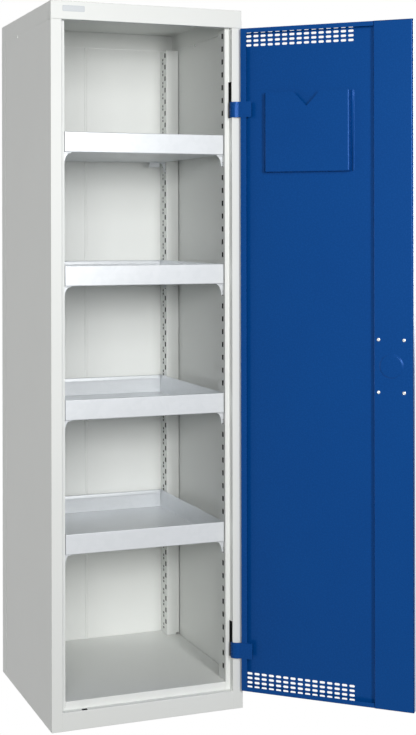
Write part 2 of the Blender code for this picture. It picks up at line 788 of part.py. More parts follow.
cut(channel, prisms("screw holes", screw_holes, DOOR_BACK - 2.0 * SHEET, DOOR_BACK + SHEET, "y"))
finish(channel, BLUE, door_pivot, PIVOT)

# Lock case: the plate behind the channel that holds the end of the spindle
case_back = DOOR_BACK - SHEET - GAP
case_front = case_back - CASE_THICK
case = box("lock_case", (LOCK_X - CASE_WIDE / 2.0, case_front, LOCK_LEVEL - CASE_TALL / 2.0),
           (LOCK_X + CASE_WIDE / 2.0, case_back, LOCK_LEVEL + CASE_TALL / 2.0))
spindle_round = SPINDLE / math.sqrt(2.0) + SPINDLE_CLEAR
cut(case, cylinder("bearing", spot, spindle_round, case_front - SHEET, case_back + SHEET, "y"))
for place in screw_places:
    cut(case, cylinder("screw hole", place, screw_hole, case_front - SHEET, case_back + SHEET, "y", 10))
finish(case, STEEL, door_pivot, PIVOT)

for number, place in enumerate(screw_places):
    head_low = DOOR_BACK + GAP
    head_high = head_low + SCREW_HEAD_TALL
    screw = cylinder("lock_screw_%d" % (number + 1), place, SCREW_HEAD, head_low, head_high, "y", 12)
    join(screw, cylinder("shank", place, SCREW_SHANK, case_front, head_low + MID, "y", 10))
    finish(screw, STEEL, door_pivot, PIVOT)

# Document pocket: a flared pan closed at the bottom, with a thumb notch in its upper edge
pocket_x = DOOR_EDGE - POCKET_MIDDLE
pocket_base = DOOR_INSIDE + GAP + MID
pocket_face = pocket_base + POCKET_DEEP - SHEET
half = POCKET_WIDE / 2.0
pocket_path = [
    (pocket_x + half + POCKET_FLARE + POCKET_FLANGE, pocket_base),
    (pocket_x + half + POCKET_FLARE, pocket_base),
    (pocket_x + half, pocket_face),
    (pocket_x - half, pocket_face),
    (pocket_x - half - POCKET_FLARE, pocket_base),
    (pocket_x - half - POCKET_FLARE - POCKET_FLANGE, pocket_base),
]
pocket_high = POCKET_BOTTOM + POCKET_TALL
pocket = bent_sheet("document_pocket", pocket_path, POCKET_BOTTOM, pocket_high)
pocket_floor = [
    (pocket_x + half + POCKET_FLARE, pocket_base - MID),
    (pocket_x + half, pocket_face),
    (pocket_x - half, pocket_face),
    (pocket_x - half - POCKET_FLARE, pocket_base - MID),
]
join(pocket, prism("pocket floor", pocket_floor, POCKET_BOTTOM, POCKET_BOTTOM + SHEET))
notch = [
    (pocket_x - NOTCH_WIDE / 2.0 - SHEET, pocket_high + SHEET),
    (pocket_x - NOTCH_WIDE / 2.0, pocket_high),
    (pocket_x, pocket_high - NOTCH_DEEP),
    (pocket_x + NOTCH_WIDE / 2.0, pocket_high),
    (pocket_x + NOTCH_WIDE / 2.0 + SHEET, pocket_high + SHEET),
]
cut(pocket, prism("notch", notch, pocket_face - 2.0 * SHEET, pocket_face + 2.0 * SHEET, "y"))
finish(pocket, BLUE, door_pivot, PIVOT)

# Handle body: rose on the door skin, turning grip with spindle, cam inside, key plug in the hub
rose_back = FRONT - GAP
rose = cylinder("handle_rose", spot, ROSE_RADIUS, rose_back - ROSE_THICK, rose_back, "y", 28)
cut(rose, cylinder("rose hole", spot, spindle_round, rose_back - ROSE_THICK - SHEET, rose_back + SHEET, "y"))
finish(rose, BLACK, door_pivot, PIVOT)

handle_pivot = make_pivot("handle_pivot", LOCK - PIVOT, door_pivot)
hub_back = rose_back - ROSE_THICK - GAP
hub_front = hub_back - HUB_TALL
handle = cylinder("turn_handle", spot, HUB_RADIUS, hub_front, hub_back, "y", 24)
grip_outline = []
grip_round = GRIP_WIDE / 2.0
grip_straight = GRIP_LONG / 2.0 - grip_round
for centre, start in ((LOCK_LEVEL + grip_straight, 0.0), (LOCK_LEVEL - grip_straight, math.pi)):
    for i in range(GRIP_STEPS + 1):
        angle = start + math.pi * i / GRIP_STEPS
        grip_outline.append((LOCK_X + grip_round * math.cos(angle), centre + grip_round * math.sin(angle)))
join(handle, prism("grip", grip_outline, hub_front, hub_front + GRIP_TALL, "y"))
half = SPINDLE / 2.0
join(handle, box("spindle", (LOCK_X - half, hub_back - SHEET, LOCK_LEVEL - half),
                 (LOCK_X + half, case_back - GAP, LOCK_LEVEL + half)))
bore_end = hub_front + PLUG_DEEP + GAP
cut(handle, cylinder("plug bore", spot, PLUG_RADIUS + GAP, hub_front - SHEET, bore_end, "y", 20))
finish(handle, BLACK, handle_pivot, LOCK)

plug = cylinder("lock_plug", spot, PLUG_RADIUS, hub_front - MID, hub_front + PLUG_DEEP, "y", 20)
cut(plug, box("keyway", (LOCK_X - KEYWAY_WIDE / 2.0, hub_front - SHEET, LOCK_LEVEL - KEYWAY_LONG / 2.0),
              (LOCK_X + KEYWAY_WIDE / 2.0, hub_front + KEYWAY_DEEP, LOCK_LEVEL + KEYWAY_LONG / 2.0)))
finish(plug, CHROME, handle_pivot, LOCK)

# Cam with two crank pins set half a right angle below and above the level line
cam_front = FRONT + CAM_START
cam_back = cam_front + CAM_THICK
cam = cylinder("lock_cam", spot, CAM_RADIUS, cam_front, cam_back, "y", 24)
half = SPINDLE / 2.0 + GAP
cut(cam, box("square", (LOCK_X - half, cam_front - SHEET, LOCK_LEVEL - half),
             (LOCK_X + half, cam_back + SHEET, LOCK_LEVEL + half)))
crank = CRANK / math.sqrt(2.0)
rod_front = FRONT + ROD_START
rod_back = rod_front + ROD_THICK
for side in (-1.0, 1.0):
    place = (LOCK_X + side * crank, LOCK_LEVEL - side * crank)
    join(cam, cylinder("crank pin", place, CRANK_PIN, cam_back - MID, rod_back + MID, "y", 14))
finish(cam, STEEL, handle_pivot, LOCK)


def lock_rod(name, way):
    """Flat rod with a slotted eye round one crank pin; way is +1 for up and -1 for down."""
    end = (DOOR_HIGH if way > 0.0 else DOOR_LOW) - way * ROD_BACK
    level = LOCK_LEVEL - way * crank
    inner = ROD_EYE_INNER
    outer = inner + ROD_EYE_WIDE
    joint = LOCK_LEVEL + way * ROD_JOIN
    foot = level - way * ROD_EYE_TALL / 2.0
    half_rod = ROD_WIDE / 2.0
    half_tip = half_rod - ROD_TAPER
    tip = end - way * ROD_TAPER
    outline = [
        (inner, foot),
        (outer, foot),
        (outer, level + way * ROD_EYE_TALL / 2.0),
        (half_rod, joint),
        (half_rod, tip),
        (half_tip, end),
        (-half_tip, end),
        (-half_rod, tip),
        (-half_rod, joint + way * ROD_SHOULDER),
        (inner, joint - way * ROD_NECK),
    ]
    outline = [(LOCK_X + way * x, z) for x, z in outline]
    rod = prism(name, outline, rod_front, rod_back, "y")
    reach = CRANK_PIN + CRANK_CLEAR
    low, high = span((LOCK_X + way * (crank - reach), rod_front - SHEET, level - reach),
                     (LOCK_X + way * (CRANK + reach), rod_back + SHEET, level + reach))
    cut(rod, box("eye slot", low, high))
    return finish(rod, STEEL, door_pivot, PIVOT)


lock_rod("upper_rod", 1.0)
lock_rod("lower_rod", -1.0)

# Guides that hold the rods near the door's ends
for word, level in (("lower", DOOR_LOW + GUIDE_FROM_END), ("upper", DOOR_HIGH - GUIDE_FROM_END)):
    half = GUIDE_WIDE / 2.0
    guide = box("rod_guide_" + word, (LOCK_X - half, FRONT + GUIDE_START, level - GUIDE_TALL / 2.0),
                (LOCK_X + half, case_back, level + GUIDE_TALL / 2.0))
    half = ROD_WIDE / 2.0 + GUIDE_CLEAR
    cut(guide, box("way", (LOCK_X - half, rod_front - GUIDE_CLEAR, level - GUIDE_TALL),
                   (LOCK_X + half, rod_back + GUIDE_CLEAR, level + GUIDE_TALL)))
    finish(guide, BLACK, door_pivot, PIVOT)
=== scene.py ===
"""Looks of a tall single-door steel cabinet for hazardous materials, with its door open."""

import json
import math

import bmesh
import bpy
from mathutils import Matrix, Vector


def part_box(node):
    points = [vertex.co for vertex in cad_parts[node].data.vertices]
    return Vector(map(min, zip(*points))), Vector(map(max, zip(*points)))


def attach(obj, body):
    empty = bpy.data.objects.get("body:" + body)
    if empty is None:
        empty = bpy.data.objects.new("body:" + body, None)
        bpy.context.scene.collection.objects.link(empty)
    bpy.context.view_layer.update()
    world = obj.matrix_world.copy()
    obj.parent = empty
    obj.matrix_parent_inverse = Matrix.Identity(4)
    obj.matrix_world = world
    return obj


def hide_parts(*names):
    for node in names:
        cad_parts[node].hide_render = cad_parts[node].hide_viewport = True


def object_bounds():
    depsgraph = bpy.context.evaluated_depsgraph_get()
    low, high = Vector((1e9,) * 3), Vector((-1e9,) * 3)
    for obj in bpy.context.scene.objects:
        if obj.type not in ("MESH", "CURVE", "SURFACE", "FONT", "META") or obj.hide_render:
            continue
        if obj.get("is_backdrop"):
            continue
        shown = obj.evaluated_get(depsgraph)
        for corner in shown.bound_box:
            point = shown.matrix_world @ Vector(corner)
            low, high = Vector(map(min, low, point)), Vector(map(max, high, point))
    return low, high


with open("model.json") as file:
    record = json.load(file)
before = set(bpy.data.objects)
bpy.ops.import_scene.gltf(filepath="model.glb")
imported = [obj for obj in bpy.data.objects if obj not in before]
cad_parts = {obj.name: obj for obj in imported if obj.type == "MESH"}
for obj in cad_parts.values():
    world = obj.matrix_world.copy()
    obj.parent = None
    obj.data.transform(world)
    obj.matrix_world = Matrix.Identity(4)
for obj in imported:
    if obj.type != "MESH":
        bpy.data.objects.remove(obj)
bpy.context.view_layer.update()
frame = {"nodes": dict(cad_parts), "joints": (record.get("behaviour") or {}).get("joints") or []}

scene = bpy.context.scene
nodes = frame["nodes"]

# Studio: the cabinet stands in a white room on a pale floor, over a patch of painted shade that its base
# covers.
# A tall soft box in front is the key, a broad one left of the camera fills, and four more light the
# sides, the rear and the top.  The camera is level, left of the cabinet and at chest height.
ROOM_LIGHT = 0.10
WHITE_WALL = 1.0
FLOOR_GLOW = 0.90
FLOOR_HALF = 30.0
FLOOR_DROP = 0.0005
COVER_INSET = 0.010
FOCAL_MM = 67.941
SENSOR_MM = 36.0
PICTURE_SHIFT = (0.0420, -0.1915)
FAR_CLIP = 100.0
CAMERA_PLACE = (-1.1685, -3.3012, 1.2422)
CAMERA_HEADING = math.radians(-20.706)
CAMERA_ROLL = math.radians(-0.103)


def linear(code):
    """sRGB hex colour as linear RGBA."""
    channels = [int(code[i:i + 2], 16) / 255.0 for i in (1, 3, 5)]
    return (*[c / 12.92 if c <= 0.04045 else ((c + 0.055) / 1.055) ** 2.4 for c in channels], 1.0)


def add_node(tree, kind, settings, links=()):
    """One shader node: settings name its properties or sockets, links say what feeds a socket."""
    node = tree.nodes.new(kind)
    for name, value in settings.items():
        if name in node.inputs:
            node.inputs[name].default_value = value
        else:
            setattr(node, name, value)
    for socket, source, output in links:
        tree.links.new(source.outputs[output], node.inputs[socket])
    return node


def empty_tree(owner):
    """Cleared node tree of a world or a material."""
    owner.use_nodes = True
    owner.node_tree.nodes.clear()
    return owner.node_tree


def seen_rays(tree):
    """One where the eye, a mirror or glass looks, and nought for the light that falls on things."""
    ray = add_node(tree, "ShaderNodeLightPath", {})
    mirrored = add_node(tree, "ShaderNodeMath", {"operation": "MAXIMUM"},
                        [(0, ray, "Is Glossy Ray"), (1, ray, "Is Transmission Ray")])
    return add_node(tree, "ShaderNodeMath", {"operation": "MAXIMUM"},
                    [(0, ray, "Is Camera Ray"), (1, mirrored, 0)])


scene.world = bpy.data.worlds.new("white_room")
tree = empty_tree(scene.world)
seen = seen_rays(tree)
room = add_node(tree, "ShaderNodeBackground", {"Color": linear("#FFFFFF"), "Strength": ROOM_LIGHT})
wall = add_node(tree, "ShaderNodeBackground", {"Color": linear("#FFFFFF"), "Strength": WHITE_WALL})
either = add_node(tree, "ShaderNodeMixShader", {}, [(0, seen, 0), (1, room, 0), (2, wall, 0)])
add_node(tree, "ShaderNodeOutputWorld", {}, [("Surface", either, 0)])

# Matt floor paint, which the eye sees as nearly white while it keeps the cabinet's shadow.
floor_paint = bpy.data.materials.new("matt_studio_floor")
tree = empty_tree(floor_paint)
glow_level = add_node(tree, "ShaderNodeMath", {"operation": "MULTIPLY"}, [(0, seen_rays(tree), 0)])
glow_level.inputs[1].default_value = FLOOR_GLOW
matt = add_node(tree, "ShaderNodeBsdfDiffuse", {"Color": linear("#E6E6E4")})
glow = add_node(tree, "ShaderNodeEmission", {"Color": linear("#FFFFFF")}, [("Strength", glow_level, 0)])
both = add_node(tree, "ShaderNodeAddShader", {}, [(0, matt, 0), (1, glow, 0)])
add_node(tree, "ShaderNodeOutputMaterial", {}, [("Surface", both, 0)])

# Floor under the cabinet in painted shade, near black so that no light comes up through the rod slot.
covered_floor = bpy.data.materials.new("painted_shade_floor")
tree = empty_tree(covered_floor)
matt = add_node(tree, "ShaderNodeBsdfDiffuse", {"Color": linear("#201F1D")})
add_node(tree, "ShaderNodeOutputMaterial", {}, [("Surface", matt, 0)])

left_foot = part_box("left_side_panel")[0]
right_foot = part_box("right_side_panel")[1]
bm = bmesh.new()
bmesh.ops.create_grid(bm, x_segments=1, y_segments=1, size=FLOOR_HALF)
covered = bm.faces[:]
bmesh.ops.inset_region(bm, faces=covered, thickness=FLOOR_HALF / 2.0)
for vert in covered[0].verts:
    vert.co.x = left_foot.x + COVER_INSET if vert.co.x < 0.0 else right_foot.x - COVER_INSET
    vert.co.y = left_foot.y + COVER_INSET if vert.co.y < 0.0 else right_foot.y - COVER_INSET
# The patch that the cabinet covers takes the painted shade.
covered[0].material_index = 1
bmesh.ops.translate(bm, vec=(0.0, 0.0, -FLOOR_DROP), verts=bm.verts)
mesh = bpy.data.meshes.new("studio_floor")
bm.to_mesh(mesh)
bm.free()
mesh.materials.append(floor_paint)
mesh.materials.append(covered_floor)
studio_floor = bpy.data.objects.new("studio_floor", mesh)
scene.collection.objects.link(studio_floor)
studio_floor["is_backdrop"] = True


def soft_box(name, place, aim, size, watts):
    """Rectangular lamp of a width and a height that points at a spot."""
    lamp = bpy.data.lights.new(name, "AREA")
    lamp.shape = "RECTANGLE"
    lamp.size, lamp.size_y = size
    lamp.energy = watts
    holder = bpy.data.objects.new(name, lamp)
    holder.location = place
    holder.rotation_euler = (Vector(aim) - Vector(place)).to_track_quat("-Z", "Y").to_euler()
    scene.collection.objects.link(holder)


soft_box("key_box", place=(0.2, -4.2, 2.0), aim=(0.0, 0.1, 1.2), size=(0.5, 1.8), watts=95.0)
soft_box("fill_box", place=(-1.6, -3.85, 1.7), aim=(0.0, 0.1, 1.35), size=(1.6, 0.8), watts=69.0)
soft_box("left_box", place=(-4.2, 0.8, 0.9), aim=(-0.2, 0.3, 0.8), size=(2.0, 2.0), watts=36.0)
soft_box("right_box", place=(4.4, 1.2, 1.6), aim=(0.3, 0.1, 0.9), size=(2.0, 2.0), watts=85.0)
soft_box("rear_box", place=(1.3, 4.8, 1.6), aim=(0.0, 0.5, 0.9), size=(2.0, 2.0), watts=85.0)
soft_box("top_box", place=(0.7, 1.2, 4.6), aim=(0.0, 0.3, 1.8), size=(1.5, 1.5), watts=36.0)

lens = bpy.data.cameras.new("camera")
lens.lens = FOCAL_MM
lens.sensor_width = SENSOR_MM
lens.shift_x, lens.shift_y = PICTURE_SHIFT
lens.clip_end = FAR_CLIP
camera = bpy.data.objects.new("camera", lens)
camera.location = CAMERA_PLACE
level_view = Matrix.Rotation(CAMERA_HEADING, 3, "Z") @ Matrix.Rotation(math.pi / 2.0, 3, "X")
camera.rotation_euler = (level_view @ Matrix.Rotation(CAMERA_ROLL, 3, "Z")).to_euler()
scene.collection.objects.link(camera)
scene.camera = camera
scene.view_settings.view_transform = "Standard"

# Carcass sheets: side panels, back and floor, folded from 1 mm steel, welded together and powder
# coated light grey.  The CAD solids have their true shape and only take the finish.
CLOUD = 0.2
PEEL = 0.004
PEEL_DEPTH = 0.0003
COAT_SPREAD = 0.06
COAT_IOR = 1.5


def new_finish(name):
    """New material with its node tree, its shader and a node that gives the piece's coordinates."""
    finish = bpy.data.materials.new(name)
    finish.use_nodes = True
    tree = finish.node_tree
    return finish, tree, tree.nodes["Principled BSDF"], add_node(tree, "ShaderNodeTexCoord", {})


def powder_coat(name, pale, dark, roughness, sheen="#FFFFFF"):
    """Powder-coated steel: two close tones in soft clouds, satin gloss and a faint orange peel.
    The real peel is about 1.5 mm wide; it is drawn at PEEL so that it shows.  A tinted sheen keeps
    the reflected white room from greying a strong colour."""
    coat, tree, skin, place = new_finish(name)
    cloud = add_node(tree, "ShaderNodeTexNoise", {"Scale": 1.0 / CLOUD, "Detail": 3.0, "Roughness": 0.6},
                     [("Vector", place, "Object")])
    tone = add_node(tree, "ShaderNodeMixRGB", {"Color1": linear(dark), "Color2": linear(pale)},
                    [("Fac", cloud, "Fac")])
    peel = add_node(tree, "ShaderNodeTexNoise", {"Scale": 1.0 / PEEL, "Detail": 2.0},
                    [("Vector", place, "Object")])
    gloss = add_node(tree, "ShaderNodeMapRange",
                     {"To Min": roughness - COAT_SPREAD, "To Max": roughness + COAT_SPREAD},
                     [("Value", peel, "Fac")])
    bump = add_node(tree, "ShaderNodeBump", {"Strength": 0.12, "Distance": PEEL_DEPTH},
                    [("Height", peel, "Fac")])
    tree.links.new(tone.outputs[0], skin.inputs["Base Color"])
    tree.links.new(gloss.outputs[0], skin.inputs["Roughness"])
    tree.links.new(bump.outputs[0], skin.inputs["Normal"])
    skin.inputs["IOR"].default_value = COAT_IOR
    skin.inputs["Specular Tint"].default_value = linear(sheen)
    return coat


def dress(finish, *names):
    """Gives solids of the frame their finish."""
    for name in names:
        nodes[name].data.materials.clear()
        nodes[name].data.materials.append(finish)


grey_coat = powder_coat("light_grey_powder_coat", "#EBEDEA", "#E7E9E6", 0.42)
dress(grey_coat, "left_side_panel", "right_side_panel", "back_panel", "floor_panel")

# Lid: a shallow pan pressed from one sheet, its skirts turned down flush with the walls.  The front
# skirt returns inwards and up behind the door and takes the upper lock rod in a slot.
SHEET = 0.001
LEDGE_DEEP = 0.021
LEDGE_RISE = 0.0205
LID_ROUND = 0.0022
ROD_SLOT = (0.014, 0.011)
TOUCH = 0.0001
FOLD_ANGLE = 0.9
BEND_STEPS = 3
SMOOTH_LIMIT = math.radians(38.0)

swing = next(j for j in frame["joints"] if j["name"] == "door_swing")
turn = next(j for j in frame["joints"] if j["name"] == "handle_turn")
pivot = Vector(swing["pos_m"])
shut = (Matrix.Translation(pivot) @ Matrix.Rotation(math.radians(swing["range_deg"][0]), 4, "Z")
        @ Matrix.Translation(-pivot))
lock = shut @ Vector(turn["pos_m"])


def shut_box(node):
    """Corners of a door solid as it lies with the door shut."""
    points = [shut @ nodes[node].matrix_world @ v.co for v in nodes[node].data.vertices]
    low = Vector([min(p[i] for p in points) for i in range(3)])
    high = Vector([max(p[i] for p in points) for i in range(3)])
    return low, high


def block(bm, low, high):
    """Solid block between two corners; gives its vertices."""
    low, high = Vector(low), Vector(high)
    made = bmesh.ops.create_cube(bm, size=1.0, matrix=Matrix.Translation((low + high) / 2.0)
                                 @ Matrix.Diagonal((*(high - low), 1.0)))
    return made["verts"]


def level_faces(bm, axis, level):
    """Faces that lie flat at a level."""
    return [f for f in bm.faces if all(abs(v.co[axis] - level) < TOUCH for v in f.verts)]


def free_edges(bm, axis, level):
    """Open edges of a sheet that lie at a level."""
    return [e for e in bm.edges
            if e.is_boundary and all(abs(v.co[axis] - level) < TOUCH for v in e.verts)]


def sharp_edges(bm, least):
    """Edges between two faces that turn by more than an angle."""
    return [e for e in bm.edges if e.calc_face_angle(0.0) > least]


def new_verts(made):
    return [g for g in made["geom"] if isinstance(g, bmesh.types.BMVert)]


def rim_edges(made):
    return [g for g in made["geom"] if isinstance(g, bmesh.types.BMEdge) and g.is_boundary]


def fold(bm, edges, shift):
    """Turns a sheet over at some edges; gives the new free edges."""
    made = bmesh.ops.extrude_edge_only(bm, edges=edges)
    bmesh.ops.translate(bm, vec=shift, verts=new_verts(made))
    return rim_edges(made)


def round_edges(bm, edges, radius, steps=BEND_STEPS, clamp=False):
    bmesh.ops.bevel(bm, geom=edges, offset=radius, offset_type="OFFSET", segments=steps, profile=0.5,
                    affect="EDGES", material=-1, clamp_overlap=clamp)


def round_folds(bm, radius, least=FOLD_ANGLE):
    """Gives each fold of a sheet its bending radius."""
    round_edges(bm, sharp_edges(bm, least), radius, clamp=True)


def whole_faces(faces):
    """Faces with their edges and vertices, as a cut takes them."""
    edges = dict.fromkeys(e for f in faces for e in f.edges)
    verts = dict.fromkeys(v for f in faces for v in f.verts)
    return [*faces, *edges, *verts]


def window(bm, low, high):
    """Rectangular opening in the flat part of a sheet that lies inside a thin box."""
    thin = min(range(3), key=lambda i: high[i] - low[i])
    for axis in range(3):
        if axis == thin:
            continue
        way = Vector((0.0, 0.0, 0.0))
        way[axis] = 1.0
        for level in (low[axis], high[axis]):
            flat = [f for f in bm.faces if all(low[thin] < v.co[thin] < high[thin] for v in f.verts)]
            bmesh.ops.bisect_plane(bm, geom=whole_faces(flat), plane_co=way * level, plane_no=way)
    middle = [f for f in bm.faces
              if all(low[i] < f.calc_center_median()[i] < high[i] for i in range(3))]
    bmesh.ops.delete(bm, geom=middle, context="FACES")


def face_out(bm, way):
    """Turns the faces of an open sheet so that its largest one looks along a direction."""
    bmesh.ops.recalc_face_normals(bm, faces=bm.faces)
    largest = max(bm.faces, key=lambda f: f.calc_area())
    if largest.normal.dot(Vector(way)) < 0.0:
        bmesh.ops.reverse_faces(bm, faces=bm.faces)


def piece(bm, name, finish, body, stands_for, sheet=0.0, inward=-1.0, inside=None):
    """Finished piece: smooth bends, sheet thickness, and its place on a moving body.
    A sheet can take a second finish on its inside and its cut edges; here that is a near-black painted
    shade."""
    for face in bm.faces:
        face.smooth = True
    for edge in bm.edges:
        edge.smooth = edge.calc_face_angle(0.0) < SMOOTH_LIMIT
    mesh = bpy.data.meshes.new(name)
    bm.to_mesh(mesh)
    bm.free()
    mesh.materials.append(finish)
    made = bpy.data.objects.new(name, mesh)
    scene.collection.objects.link(made)
    if sheet:
        wall = made.modifiers.new("sheet", "SOLIDIFY")
        wall.thickness = sheet
        wall.offset = inward
        wall.use_even_offset = True
        if inside:
            mesh.materials.append(inside)
            wall.material_offset = 1
            wall.material_offset_rim = 1
    made.modifiers.new("even_shading", "WEIGHTED_NORMAL").keep_sharp = True
    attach(made, body)
    if stands_for:
        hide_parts(*stands_for)


rod_low, rod_high = shut_box("upper_rod")
rod_middle = Vector((lock.x, (rod_low.y + rod_high.y) / 2.0, 0.0))
slot_half = Vector((ROD_SLOT[0] / 2.0, ROD_SLOT[1] / 2.0, SHEET / 2.0))

low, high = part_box("top_panel")
bm = bmesh.new()
block(bm, low, high)
bmesh.ops.delete(bm, geom=level_faces(bm, 2, low.z), context="FACES_ONLY")
front = fold(bm, free_edges(bm, 1, low.y), (0.0, LEDGE_DEEP, 0.0))
fold(bm, front, (0.0, 0.0, LEDGE_RISE))
face_out(bm, (0.0, 0.0, 1.0))
round_folds(bm, LID_ROUND)
middle = rod_middle + Vector((0.0, 0.0, low.z))
window(bm, middle - slot_half, middle + slot_half)
piece(bm, "lid_sheet", grey_coat, "carcass", ["top_panel"], SHEET)

# Plinth rail: a sheet folded under at the foot and back at the top, welded between the stiles with
# the welds dressed flush under the paint.  The lower lock rod drops into the slot in its ledge, whose
# rear edge is turned down.
FOOT_FLANGE = 0.020
LEDGE_RETURN = 0.008
WELD_LAP = 0.0014
WELD_PROUD = 0.00005
PLINTH_BEND = 0.0016
INNER_MOTTLE = 1.0 / 60.0


def mottled(name, dark, pale, grain, detail, roughness, relief=0.0):
    """Finish in two close tones that change over the width of a grain, with a relief if it has one."""
    finish, tree, skin, place = new_finish(name)
    speck = add_node(tree, "ShaderNodeTexNoise", {"Scale": 1.0 / grain, "Detail": detail},
                     [("Vector", place, "Object")])
    tone = add_node(tree, "ShaderNodeMixRGB", {"Color1": linear(dark), "Color2": linear(pale)},
                    [("Fac", speck, "Fac")])
    tree.links.new(tone.outputs[0], skin.inputs["Base Color"])
    skin.inputs["Roughness"].default_value = roughness
    if relief:
        bump = add_node(tree, "ShaderNodeBump", {"Strength": 0.2, "Distance": relief},
                        [("Height", speck, "Fac")])
        tree.links.new(bump.outputs[0], skin.inputs["Normal"])
    return finish


def polyline(bm, points):
    """Open line through some points; gives its vertices and its edges."""
    verts = [bm.verts.new(point) for point in points]
    edges = [bm.edges.new(pair) for pair in zip(verts, verts[1:])]
    return verts, edges


# Painted shade on the inside of closed folds and on cut edges: dull, near black with a faint random
# mottle, so that slots read as holes.
painted_shade_inside = mottled("painted_shade_inner_steel", "#060707", "#0D0E0F", INNER_MOTTLE, 3.0, 0.7)

low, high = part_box("plinth_rail")
front = low.y - WELD_PROUD
path = ((low.y + FOOT_FLANGE, low.z), (front, low.z), (front, high.z), (high.y, high.z),
        (high.y, high.z - LEDGE_RETURN))
bm = bmesh.new()
edges = polyline(bm, [(low.x - WELD_LAP, y, z) for y, z in path])[1]
fold(bm, edges, (high.x - low.x + 2.0 * WELD_LAP, 0.0, 0.0))
face_out(bm, (0.0, -1.0, 0.0))
round_folds(bm, PLINTH_BEND)
middle = rod_middle + Vector((0.0, 0.0, high.z))
window(bm, middle - slot_half, middle + slot_half)
# The plinth's inside and cut edges take the near-black painted shade.
piece(bm, "plinth_sheet", grey_coat, "carcass", ["plinth_rail"], SHEET, inside=painted_shade_inside)

# Label plate: a small blank plate moulded in plastic, stuck to the lid's front skirt, with a raised
# rim round a sunk field.
LABEL_CORNER = 0.0025
LABEL_CORNER_STEPS = 4
LABEL_RIM = 0.0013
LABEL_SINK = 0.0003
LABEL_GRAIN = 1.0 / 700.0

# Moulded plastic with a soft gloss.  Its grain, about half a millimetre, is drawn wider to show.
label_plastic = mottled("pale_label_plastic", "#C9CED2", "#D3D7DA", LABEL_GRAIN, 2.0, 0.38)

low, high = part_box("label_plate")
bm = bmesh.new()
block(bm, low, high)
corners = [e for e in bm.edges if abs(e.verts[0].co.y - e.verts[1].co.y) > TOUCH]
round_edges(bm, corners, LABEL_CORNER, LABEL_CORNER_STEPS)
front = level_faces(bm, 1, low.y)
bmesh.ops.inset_region(bm, faces=front, thickness=LABEL_RIM, use_even_offset=True)
bmesh.ops.inset_region(bm, faces=front, thickness=LABEL_SINK, depth=-LABEL_SINK, use_even_offset=True)
piece(bm, "label_sheet", label_plastic, "carcass", ["label_plate"])

# Uprights: strips with a ladder of hook slots, folded to boxes and welded behind the stiles and into
# the rear corners.  The rear ones have pairs of round holes between the slots as well.
SLOT_PITCH = 1.0 / 30.0
SLOT_FIRST = 0.103
SLOT_COUNT = 50
SLOT_CORNER = 0.0008
FRONT_SLOT = (0.0096, 0.0132)
REAR_SLOT = (0.0088, 0.0132)
FRONT_SLOT_INSET = 0.0147
REAR_SLOT_INSET = 0.0091
HOLE_DROPS = (0.0116, 0.0211)
HOLE_RADIUS = 0.00395
HOLE_STEPS = 10
HOLE_INSET = 0.0273
CELL_DROP = 0.0085
STRIP_EDGE = 0.0045
WELD_FLANGE = 0.009
REAR_FLANGE = 0.020
WALL_GAP = 0.0018
FRONT_BEND = 0.0012
REAR_BEND = 0.004
FOOT_NOTCH = (0.009, 0.005)
MERGE = 0.00001


def oblong(bm, lay, wide, tall, corner, steps=8):
    """Closed outline of a rounded oblong, laid into a sheet by a matrix."""
    made = bmesh.ops.create_circle(bm, segments=steps, radius=corner)["verts"]
    bmesh.ops.rotate(bm, verts=made, matrix=Matrix.Rotation(math.pi / steps, 3, "Z"))
    for vert in made:
        vert.co.x += math.copysign(wide / 2.0 - corner, vert.co.x)
        vert.co.y += math.copysign(tall / 2.0 - corner, vert.co.y)
    bmesh.ops.transform(bm, matrix=lay, verts=made)
    return list(dict.fromkeys(e for v in made for e in v.link_edges))


def round_hole(bm, lay, radius, steps):
    return oblong(bm, lay, 2.0 * radius, 2.0 * radius, radius, steps)


def open_faces(bm, faces):
    """Takes out some faces and gives the edges of the gap."""
    rim = [e for f in faces for e in f.edges]
    bmesh.ops.delete(bm, geom=faces, context="FACES_ONLY")
    return rim


def fill_sheet(bm, rim, way):
    """Flat sheet between an outline and the holes inside it."""
    bmesh.ops.triangle_fill(bm, use_beauty=True, use_dissolve=False, edges=rim, normal=way)


